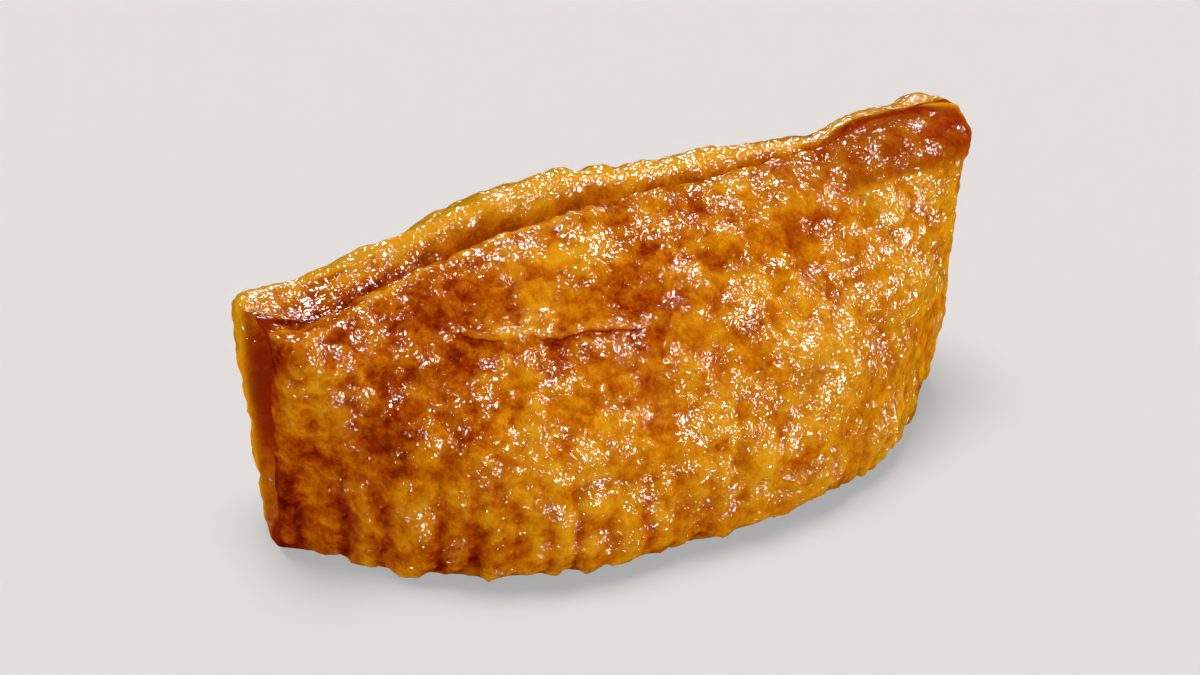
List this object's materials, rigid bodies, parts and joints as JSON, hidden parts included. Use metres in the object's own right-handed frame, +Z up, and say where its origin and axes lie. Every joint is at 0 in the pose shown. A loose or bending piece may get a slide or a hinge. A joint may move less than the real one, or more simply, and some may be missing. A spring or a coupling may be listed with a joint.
{
  "type": "inari sushi",
  "caption": "Stuffed pouch of seasoned fried tofu, its closed edge up and its folded mouth underneath, with a wrinkled, glossy skin.",
  "frame": {"origin": "middle of the underside, at the height of the surface the pouch rests on", "axes": "+X along the closed edge, +Z up, and the fuller face looks toward -Y"},
  "size_m": [0.079, 0.0418, 0.0313],
  "materials": {
    "fried_tofu": "glossy, moist with seasoning"
  },
  "bodies": {
    "root": {"tofu_pouch": "fried_tofu"}
  },
  "joints": []
}
